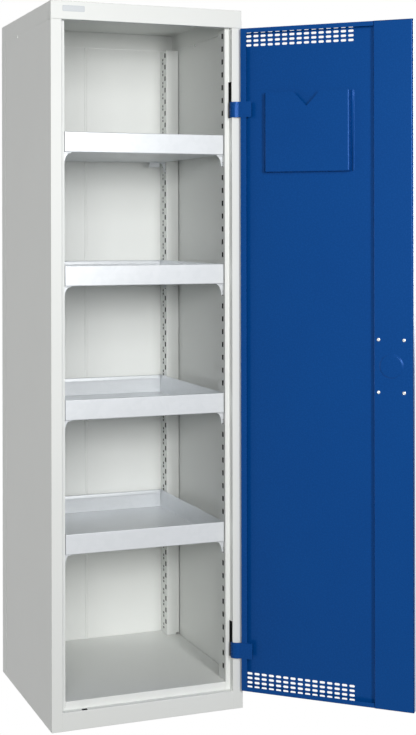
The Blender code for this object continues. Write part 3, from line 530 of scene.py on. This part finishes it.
upright_lay = Matrix.Rotation(math.pi / 2.0, 4, "Z") @ Matrix.Rotation(math.pi / 2.0, 4, "X")
for word, side in (("left", -1.0), ("right", 1.0)):
    for row in ("front", "rear"):
        node = row + "_" + word + "_upright"
        low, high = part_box(node)
        face = high.x if side < 0.0 else low.x
        reach = high.x - low.x
        near = low.y
        far = high.y - WELD_FLANGE + SHEET / 2.0 if row == "front" else high.y
        slot_y = near + (FRONT_SLOT_INSET if row == "front" else REAR_SLOT_INSET)
        slot_size = FRONT_SLOT if row == "front" else REAR_SLOT
        across = far - near - 2.0 * STRIP_EDGE
        cell = (Matrix.Translation((face, (near + far) / 2.0, SLOT_FIRST - CELL_DROP)) @ upright_lay
                @ Matrix.Diagonal((across, SLOT_PITCH, 1.0, 1.0)))
        bm = bmesh.new()
        bmesh.ops.create_grid(bm, x_segments=1, y_segments=1, size=0.5, matrix=cell)
        rim = open_faces(bm, bm.faces[:])
        spot = Matrix.Translation((face, slot_y, SLOT_FIRST))
        rim += oblong(bm, spot @ upright_lay, *slot_size, SLOT_CORNER)
        for drop in HOLE_DROPS if row == "rear" else ():
            spot = Matrix.Translation((face, near + HOLE_INSET, SLOT_FIRST - drop))
            rim += round_hole(bm, spot @ upright_lay, HOLE_RADIUS, HOLE_STEPS)
        fill_sheet(bm, rim, (-side, 0.0, 0.0))
        first = bm.verts[:] + bm.edges[:] + bm.faces[:]
        for i in range(1, SLOT_COUNT):
            copy = bmesh.ops.duplicate(bm, geom=first)
            bmesh.ops.translate(bm, vec=(0.0, 0.0, SLOT_PITCH * i), verts=new_verts(copy))
        bmesh.ops.remove_doubles(bm, verts=bm.verts, dist=MERGE)
        bottom = min(v.co.z for v in bm.verts)
        top = max(v.co.z for v in bm.verts)
        fold(bm, free_edges(bm, 2, bottom), (0.0, 0.0, low.z - bottom))
        fold(bm, free_edges(bm, 2, top), (0.0, 0.0, high.z - top))
        fold(bm, free_edges(bm, 1, near + STRIP_EDGE), (0.0, -STRIP_EDGE, 0.0))
        fold(bm, free_edges(bm, 1, far - STRIP_EDGE), (0.0, STRIP_EDGE, 0.0))
        front_edge = free_edges(bm, 1, near)
        back_edge = free_edges(bm, 1, far)
        if row == "front":
            fold(bm, front_edge, (side * WELD_FLANGE, 0.0, 0.0))
            fold(bm, back_edge, (side * reach, 0.0, 0.0))
        else:
            fold(bm, front_edge, (side * (reach - WALL_GAP), 0.0, 0.0))
            fold(bm, back_edge, (side * REAR_FLANGE, 0.0, 0.0))
            ends = sorted((face + side * (reach - WALL_GAP - FOOT_NOTCH[0]), face + side * reach))
            window(bm, Vector((ends[0], near - SHEET / 2.0, low.z - SHEET)),
                   Vector((ends[1], near + SHEET / 2.0, low.z + FOOT_NOTCH[1])))
        face_out(bm, (-side, 0.0, 0.0))
        round_folds(bm, FRONT_BEND if row == "front" else REAR_BEND)
        # Inside and cut edges take the near-black painted shade, so the slots read dark.
        piece(bm, row + "_" + word + "_post", grey_coat, "carcass", [node], SHEET,
              inside=painted_shade_inside)

# Sump trays: pans folded from galvanised sheet, with the front and rear edges hemmed inwards.  They
# lie loose on the shelf clips.
THIN_SHEET = 0.0009
TRAY_ROUND = 0.0026
HEM_WIDE = 0.0046
HEM_DEEP = 0.010
HEM_SHORT = 0.005
HEM_LEAN = 0.0020
HEM_ROUND = 0.0018
HEM_ANGLE = 1.2
TRAY_CLEAR = 0.0009
CRYSTAL = 0.0125
STREAK_LONG = 0.25
STREAK_WIDE = 0.002
ZINC_SPREAD = 0.03


def coated_metal(name, pale, dark, rough, metallic):
    """Metal with a metal coat: two close tones in crystals about 12 mm across and in streaks along the
    rolling direction.  On a small plated piece they only shift its tone a little."""
    metal, tree, skin, place = new_finish(name)
    cell = add_node(tree, "ShaderNodeTexVoronoi", {"Scale": 1.0 / CRYSTAL}, [("Vector", place, "Object")])
    along = add_node(tree, "ShaderNodeMapping",
                     {"Scale": (1.0 / STREAK_LONG, 1.0 / STREAK_WIDE, 1.0 / STREAK_WIDE)},
                     [("Vector", place, "Object")])
    streak = add_node(tree, "ShaderNodeTexNoise", {"Scale": 1.0, "Detail": 2.0}, [("Vector", along, 0)])
    mixed = add_node(tree, "ShaderNodeMixRGB", {"Fac": 0.5},
                     [("Color1", cell, "Color"), ("Color2", streak, "Fac")])
    tone = add_node(tree, "ShaderNodeMixRGB", {"Color1": linear(dark), "Color2": linear(pale)},
                    [("Fac", mixed, 0)])
    gloss = add_node(tree, "ShaderNodeMapRange",
                     {"To Min": rough - ZINC_SPREAD, "To Max": rough + ZINC_SPREAD},
                     [("Value", mixed, 0)])
    tree.links.new(tone.outputs[0], skin.inputs["Base Color"])
    tree.links.new(gloss.outputs[0], skin.inputs["Roughness"])
    skin.inputs["Metallic"].default_value = metallic
    return metal


# Hot-dip galvanised sheet: weathered to a pale, half dull grey with a faint spangle.
zinc_sheet = coated_metal("galvanised_sheet", "#DADDE0", "#D2D6D9", 0.32, 0.3)
for number in (1, 2, 3, 4):
    node = "tray_%d" % number
    low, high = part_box(node)
    clear = Vector((TRAY_CLEAR, 0.0, 0.0))
    bm = bmesh.new()
    block(bm, low + clear, high - clear)
    bmesh.ops.delete(bm, geom=level_faces(bm, 2, high.z), context="FACES_ONLY")
    face_out(bm, (0.0, 0.0, -1.0))
    round_folds(bm, TRAY_ROUND)
    for level, way in ((low.y, 1.0), (high.y, -1.0)):
        hem = fold(bm, free_edges(bm, 1, level), (0.0, way * HEM_WIDE, 0.0))
        for vert in {v for e in hem for v in e.verts}:
            vert.co.x -= math.copysign(HEM_SHORT, vert.co.x)
        fold(bm, hem, (0.0, way * HEM_LEAN, -HEM_DEEP))
    hems = [e for e in sharp_edges(bm, HEM_ANGLE) if all(v.co.z > high.z - TOUCH for v in e.verts)]
    round_edges(bm, hems, HEM_ROUND)
    piece(bm, "sump_tray_%d" % number, zinc_sheet, "carcass", [node], THIN_SHEET)

# Shelf clips: zinc-coated pressings whose tongues hook into the slots.  A small ledge on a curved
# gusset carries the tray; the rear ones have a longer ledge with a tab folded down at its front.
CLIP_PLATE = 0.003
CLIP_LEDGE = 0.002
CLIP_TONGUE = (0.004, 0.009)
CLIP_TAIL = 0.004
CLIP_REACH = 0.018
CLIP_EDGE = 0.0005
CLIP_EDGE_STEPS = 2
CLIP_EDGE_ANGLE = 0.6
GUSSET_STEPS = 12
TAB = (0.031, 0.015)

for node in [name for name in nodes if name.startswith("clip_")]:
    low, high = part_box(node)
    side = 1.0 if node.endswith("right") else -1.0
    tongue = max(abs(low.x), abs(high.x))
    tip = min(abs(low.x), abs(high.x))
    root = tongue - CLIP_TONGUE[0]
    arc = root - CLIP_REACH
    near = (low.y + high.y) / 2.0 - CLIP_PLATE / 2.0
    under = high.z - CLIP_LEDGE
    foot = Vector((arc, near, low.z))
    bm = bmesh.new()
    start = bm.verts.new((arc, near, under))
    bmesh.ops.spin(bm, geom=[start], cent=foot, axis=(0.0, 1.0, 0.0), angle=math.pi / 2.0,
                   steps=GUSSET_STEPS)
    bmesh.ops.scale(bm, vec=((root - CLIP_TAIL - arc) / (under - low.z), 1.0, 1.0), verts=bm.verts,
                    space=Matrix.Translation(-foot))
    curve = sorted(bm.verts, key=lambda v: v.co.x)
    rest = ((tongue, low.z), (tongue, low.z + CLIP_TONGUE[1]), (root, low.z + CLIP_TONGUE[1]),
            (root, under))
    plate = bm.faces.new(curve + [bm.verts.new((x, near, z)) for x, z in rest])
    thick = bmesh.ops.extrude_face_region(bm, geom=[plate])
    bmesh.ops.translate(bm, vec=(0.0, CLIP_PLATE, 0.0), verts=new_verts(thick))
    block(bm, (tip, low.y, under), (root - SHEET, high.y, high.z))
    if "rear" in node:
        block(bm, (tip, low.y, high.z - TAB[1]), (tip + TAB[0], low.y + CLIP_LEDGE, under))
    bmesh.ops.recalc_face_normals(bm, faces=bm.faces)
    round_edges(bm, sharp_edges(bm, CLIP_EDGE_ANGLE), CLIP_EDGE, CLIP_EDGE_STEPS, clamp=True)
    bmesh.ops.scale(bm, vec=(side, 1.0, 1.0), verts=bm.verts)
    bmesh.ops.recalc_face_normals(bm, faces=bm.faces)
    piece(bm, node + "_pressing", zinc_sheet, "carcass", [node])

# Rivets: one zinc-plated rivet high on each side wall holds the lid down.  It has a domed head inside
# and a low closing head outside.
RIVET_HEAD = ((0.0042, 0.0), (0.0040, 0.0006), (0.0030, 0.0013), (0.0016, 0.0017), (0.0, 0.0018))
RIVET_CLOSING = ((0.0040, 0.0), (0.0034, 0.0003), (0.0020, 0.0005), (0.0, 0.0005))
RIVET_PLACE = (0.318, 1.7505)
RIVET_STEPS = 20


def lathe(bm, points, centre, axis, steps):
    """Turned shape: a line of points, spun once round an axis."""
    verts, edges = polyline(bm, points)
    bmesh.ops.spin(bm, geom=verts + edges, cent=centre, axis=axis, angle=2.0 * math.pi, steps=steps,
                   use_merge=True)
    bmesh.ops.remove_doubles(bm, verts=bm.verts, dist=MERGE)


# Bright zinc plate: a clean metal with a soft shine.
plated_steel = coated_metal("zinc_plated_steel", "#E0E1DE", "#D4D6D4", 0.26, 1.0)
for word, side in (("left", -1.0), ("right", 1.0)):
    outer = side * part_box("right_side_panel")[1].x
    bm = bmesh.new()
    for wall, way, head in ((outer - side * SHEET, -side, RIVET_HEAD), (outer, side, RIVET_CLOSING)):
        line = [(wall + way * h, RIVET_PLACE[0] + r, RIVET_PLACE[1]) for r, h in head]
        lathe(bm, line, (wall, *RIVET_PLACE), (1.0, 0.0, 0.0), RIVET_STEPS)
    bmesh.ops.recalc_face_normals(bm, faces=bm.faces)
    core = outer - side * SHEET / 2.0
    wrong = [f for f in bm.faces if f.normal.x * (f.calc_center_median().x - core) < 0.0]
    bmesh.ops.reverse_faces(bm, faces=wrong)
    piece(bm, "lid_rivet_" + word, plated_steel, "carcass", [])

# Door leaf: a shallow pan of blue powder-coated steel with its edges turned in, pierced by a field of
# oblong vents at the top and the bottom.
DOOR_ROUND = 0.0018
SKIN_BORDER = 0.0032
HINGE_LIP = 0.016
END_LIP = 0.012
VENT_COLUMNS = 15
VENT_ROWS = 4
VENT_PITCH = (0.0193, 0.0115)
VENT_SIZE = (0.0138, 0.0062)
VENT_CORNER = 0.0029
VENT_STEPS = 12
VENT_SIDE = 0.018
VENT_END = 0.008
SPINDLE_HOLE = 0.009
SPINDLE_HOLE_STEPS = 24

blue_coat = powder_coat("gentian_blue_powder_coat", "#044488", "#033F82", 0.27, "#78A8FF")
swung_open = shut.inverted()
door_lay = Matrix.Rotation(math.pi / 2.0, 4, "X")
channel_low, channel_high = shut_box("lock_channel")
door_low, door_high = shut_box("door_panel")
door_size = door_high - door_low
centre = (door_low + door_high) / 2.0
centre.y = door_low.y

bm = bmesh.new()
bmesh.ops.create_grid(bm, x_segments=1, y_segments=1, size=0.5, matrix=Matrix.Translation(centre)
                      @ door_lay @ Matrix.Diagonal((door_size.x, door_size.z, 1.0, 1.0)))
fold(bm, list(bm.edges), (0.0, door_size.y, 0.0))
field = level_faces(bm, 1, door_low.y)
bmesh.ops.inset_region(bm, faces=field, thickness=SKIN_BORDER, use_even_offset=True)
rim = open_faces(bm, field)
for column in range(VENT_COLUMNS):
    for row in range(VENT_ROWS):
        inset = VENT_END + VENT_PITCH[1] * row
        for level in (door_low.z + inset, door_high.z - inset):
            spot = (door_high.x - VENT_SIDE - VENT_PITCH[0] * column, door_low.y, level)
            rim += oblong(bm, Matrix.Translation(spot) @ door_lay, *VENT_SIZE, VENT_CORNER, VENT_STEPS)
spot = Matrix.Translation((lock.x, door_low.y, lock.z))
rim += round_hole(bm, spot @ door_lay, SPINDLE_HOLE, SPINDLE_HOLE_STEPS)
fill_sheet(bm, rim, (0.0, -1.0, 0.0))
for level in (door_low.z, door_high.z):
    bmesh.ops.bisect_plane(bm, geom=whole_faces(level_faces(bm, 2, level)),
                           plane_co=(channel_high.x, 0.0, 0.0), plane_no=(1.0, 0.0, 0.0))
lip = [e for e in free_edges(bm, 1, door_high.y)
       if all(v.co.x > channel_high.x - TOUCH for v in e.verts)]
made = bmesh.ops.extrude_edge_only(bm, edges=lip)
for vert in new_verts(made):
    if vert.co.x > door_high.x - TOUCH:
        vert.co.x -= HINGE_LIP
    if vert.co.z > door_high.z - TOUCH:
        vert.co.z -= END_LIP
    if vert.co.z < door_low.z + TOUCH:
        vert.co.z += END_LIP
face_out(bm, (0.0, -1.0, 0.0))
round_folds(bm, DOOR_ROUND)
# The rod slots lie close to the rounded edge, so they are cut after it.
for level in (door_low.z, door_high.z):
    middle = rod_middle + Vector((0.0, 0.0, level))
    window(bm, middle - slot_half, middle + slot_half)
bm.transform(swung_open)
piece(bm, "door_leaf", blue_coat, "door", ["door_panel"], SHEET)

# Lock channel: a folded cover spot-welded over the rods on the free side, painted with the leaf.  A
# round emboss clears the end of the lock's spindle.
CHANNEL_ROUND = 0.0030
CHANNEL_BORDER = 0.004
CHANNEL_FOOT = 0.012
CHANNEL_TUCK = 0.010
SKIN_CLEAR = 0.0013
EMBOSS = 0.0310
EMBOSS_STEPS = 48
EMBOSS_PROFILE = ((0.0302, 0.0002), (0.0292, 0.0008), (0.0282, 0.0015), (0.0272, 0.0019),
                  (0.0258, 0.0020))
SCREW_HOLE = 0.0023
SCREW_HOLE_STEPS = 12

base = door_low.y + SKIN_CLEAR
face = door_high.y
left = channel_low.x
right = channel_high.x
path = ((left, face - CHANNEL_TUCK), (left, face), (left + CHANNEL_BORDER, face),
        (right - CHANNEL_BORDER, face), (right, face), (right, base), (right - CHANNEL_FOOT, base))
bm = bmesh.new()
edges = polyline(bm, [(x, y, channel_low.z) for x, y in path])[1]
fold(bm, edges, (0.0, 0.0, channel_high.z - channel_low.z))
field = max(level_faces(bm, 1, face), key=lambda f: f.calc_area())
rim = open_faces(bm, [field])
spot = Matrix.Translation((lock.x, face, lock.z))
boss = round_hole(bm, spot @ door_lay, EMBOSS, EMBOSS_STEPS)
rim += boss
for number in (1, 2, 3, 4):
    screw_low, screw_high = shut_box("lock_screw_%d" % number)
    centre = (screw_low + screw_high) / 2.0
    centre.y = face
    rim += round_hole(bm, Matrix.Translation(centre) @ door_lay, SCREW_HOLE, SCREW_HOLE_STEPS)
fill_sheet(bm, rim, (0.0, 1.0, 0.0))
size = EMBOSS
lift = 0.0
for radius, height in EMBOSS_PROFILE:
    made = bmesh.ops.extrude_edge_only(bm, edges=boss)
    ring = new_verts(made)
    bmesh.ops.scale(bm, vec=(radius / size, 1.0, radius / size), verts=ring,
                    space=Matrix.Translation((-lock.x, 0.0, -lock.z)))
    bmesh.ops.translate(bm, vec=(0.0, height - lift, 0.0), verts=ring)
    boss = rim_edges(made)
    size = radius
    lift = height
bmesh.ops.edgeloop_fill(bm, edges=boss)
face_out(bm, (0.0, 1.0, 0.0))
round_folds(bm, CHANNEL_ROUND)
bm.transform(swung_open)
piece(bm, "lock_cover", blue_coat, "door", ["lock_channel"], SHEET)

# Lock screws: four zinc-plated pan heads with a round driver recess.  They go through the channel and
# hold the lock case behind it.
PAN_TALL = 0.0022
PAN_PROFILE = ((0.0045, 0.0), (0.0045, 0.0008), (0.0040, 0.0017), (0.0031, PAN_TALL), (0.0025, PAN_TALL),
               (0.0023, -0.0010), (0.0, -0.0012))
PAN_STEPS = 24

for number in (1, 2, 3, 4):
    node = "lock_screw_%d" % number
    screw_low, screw_high = shut_box(node)
    centre = (screw_low + screw_high) / 2.0
    bm = bmesh.new()
    line = [(centre.x + r, screw_high.y - PAN_TALL + h, centre.z) for r, h in PAN_PROFILE]
    lathe(bm, line, centre, (0.0, 1.0, 0.0), PAN_STEPS)
    bmesh.ops.recalc_face_normals(bm, faces=bm.faces)
    bm.transform(swung_open)
    piece(bm, "pan_screw_%d" % number, plated_steel, "door", [node])

# Document pocket: a sheet folded to a flat pan, closed at the bottom, spot-welded by its flanges and
# painted with the door.  A notch in its upper edge lets a thumb reach the papers.
POCKET_FLARE = 0.003
POCKET_FLANGE = 0.006
POCKET_ROUND = 0.0032
POCKET_FOLD_ANGLE = 0.8
NOTCH = (0.069, 0.037)

low, high = shut_box("document_pocket")
inset = POCKET_FLARE + POCKET_FLANGE
left = low.x + inset
right = high.x - inset
middle = (left + right) / 2.0
outline = ((left, high.z), (left, low.z), (right, low.z), (right, high.z),
           (middle + NOTCH[0] / 2.0, high.z), (middle, high.z - NOTCH[1]),
           (middle - NOTCH[0] / 2.0, high.z))
bm = bmesh.new()
verts = [bm.verts.new((x, high.y, z)) for x, z in outline]
bm.faces.new(verts)
sides = [bm.edges.get(pair) for pair in zip(verts[:3], verts[1:4])]
made = bmesh.ops.extrude_edge_only(bm, edges=sides)
for vert in new_verts(made):
    vert.co.y = low.y
    vert.co.x += math.copysign(POCKET_FLARE, vert.co.x - middle)
flanges = [e for e in free_edges(bm, 1, low.y) if abs(e.verts[0].co.x - e.verts[1].co.x) < TOUCH]
made = bmesh.ops.extrude_edge_only(bm, edges=flanges)
for vert in new_verts(made):
    vert.co.x += math.copysign(POCKET_FLANGE, vert.co.x - middle)
face_out(bm, (0.0, 1.0, 0.0))
round_folds(bm, POCKET_ROUND, POCKET_FOLD_ANGLE)
bm.transform(swung_open)
piece(bm, "paper_pocket", blue_coat, "door", ["document_pocket"], THIN_SHEET)

# Hinge arms: gooseneck straps of 2 mm steel welded to the leaf, bent round the pivot so that the door
# swings clear of the stile.  The rolled eye turns on a pin in the stile.
ARM_THICK = 0.002
ARM_GAP = 0.0003
ARM_SWEEP = 0.0167
ARM_END = math.radians(49.5)
ARM_STEPS = 16
EYE_MIDDLE = 0.0042
EYE_STEPS = 24

for word in ("lower", "upper"):
    node = "hinge_arm_" + word
    low, high = shut_box(node)
    eye = Vector((pivot.x, pivot.y, low.z))
    strap = door_high.y + ARM_GAP + ARM_THICK / 2.0
    bend = math.pi - math.asin((strap - pivot.y) / ARM_SWEEP)
    bm = bmesh.new()
    ends = ((low.x, strap, low.z), (pivot.x + ARM_SWEEP * math.cos(bend), strap, low.z))
    neck = polyline(bm, ends)[0][1]
    bmesh.ops.spin(bm, geom=[neck], cent=pivot, axis=(0.0, 0.0, 1.0), angle=ARM_END - bend,
                   steps=ARM_STEPS)
    tip = max(bm.verts, key=lambda v: v.co.x)
    root = bm.verts.new(eye + EYE_MIDDLE * Vector((math.cos(ARM_END), math.sin(ARM_END), 0.0)))
    bm.edges.new((tip, root))
    bmesh.ops.create_circle(bm, segments=EYE_STEPS, radius=EYE_MIDDLE, matrix=Matrix.Translation(eye))
    fold(bm, list(bm.edges), (0.0, 0.0, high.z - low.z))
    bmesh.ops.recalc_face_normals(bm, faces=bm.faces)
    bm.transform(swung_open)
    piece(bm, "hinge_strap_" + word, blue_coat, "door", [node], ARM_THICK, 0.0)

# Hidden fittings: the hinges' brackets and pins, the lock case, the cam and the rods, pressed or turned
# from steel and zinc plated.  Two black plastic guides hold the rods near the door's ends.
PLASTIC_GRAIN = 1.0 / 900.0
PLASTIC_RELIEF = 0.0003

dress(plated_steel, "hinge_bracket_lower", "hinge_bracket_upper", "hinge_pin_lower", "hinge_pin_upper",
      "lock_case", "lock_cam", "upper_rod", "lower_rod")

# Black moulded plastic, half dull.  Its fine spark-eroded grain is drawn wider than it is to show.
black_plastic = mottled("black_moulded_plastic", "#1C1C1D", "#262627", PLASTIC_GRAIN, 2.0, 0.48,
                        PLASTIC_RELIEF)
dress(black_plastic, "rod_guide_upper", "rod_guide_lower")

# Handle: a black moulded turn grip on a round rose, outside the door.  The rose is screwed to the skin,
# and the grip's spindle goes through it to the cam.  Profiles give steps in from the rim, and heights.
ROSE_PROFILE = ((0.0, 0.0), (0.0, 0.0022), (0.0010, 0.0035), (0.0030, 0.0040), (0.0150, 0.0040))
HUB_PROFILE = ((0.0, 0.0), (0.0, 0.0170), (0.0008, 0.0190), (0.0025, 0.0200), (0.0050, 0.0200),
               (0.0056, 0.0194), (0.0056, 0.0090))
HUB_RADIUS = 0.013
HUB_GAP = 0.0003
HANDLE_STEPS = 48
GRIP_HALF = 0.007
GRIP_DEEP = 0.014
GRIP_SINK = 0.0010
GRIP_ROUND = 0.0048
GRIP_STEPS = 5

low, high = shut_box("handle_rose")
radius = (high.x - low.x) / 2.0
bm = bmesh.new()
line = [(lock.x + radius - r, high.y - h, lock.z) for r, h in ROSE_PROFILE]
lathe(bm, line, lock, (0.0, 1.0, 0.0), HANDLE_STEPS)
face_out(bm, (0.0, -1.0, 0.0))
bm.transform(swung_open)
piece(bm, "rose_disc", black_plastic, "door", ["handle_rose"])

hub_foot = low.y - HUB_GAP
low, high = shut_box("turn_handle")
bm = bmesh.new()
grip = block(bm, (lock.x - GRIP_HALF, low.y + GRIP_SINK, low.z),
             (lock.x + GRIP_HALF, low.y + GRIP_DEEP, high.z))
round_edges(bm, list(dict.fromkeys(e for v in grip for e in v.link_edges)), GRIP_ROUND, GRIP_STEPS)
line = [(lock.x + HUB_RADIUS - r, hub_foot - h, lock.z) for r, h in HUB_PROFILE]
lathe(bm, line, lock, (0.0, 1.0, 0.0), HANDLE_STEPS)
bmesh.ops.recalc_face_normals(bm, faces=bm.faces)
bm.transform(swung_open)
piece(bm, "turn_grip", black_plastic, "handle", ["turn_handle"])

# Key plug: a turned brass cylinder with a key slot, chromed and held in the handle's hub.  Chrome gives
# it a hard, nearly mirror-like shine.
chrome = coated_metal("chromed_brass", "#D8DADC", "#CED1D4", 0.16, 1.0)
dress(chrome, "lock_plug")

low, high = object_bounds()
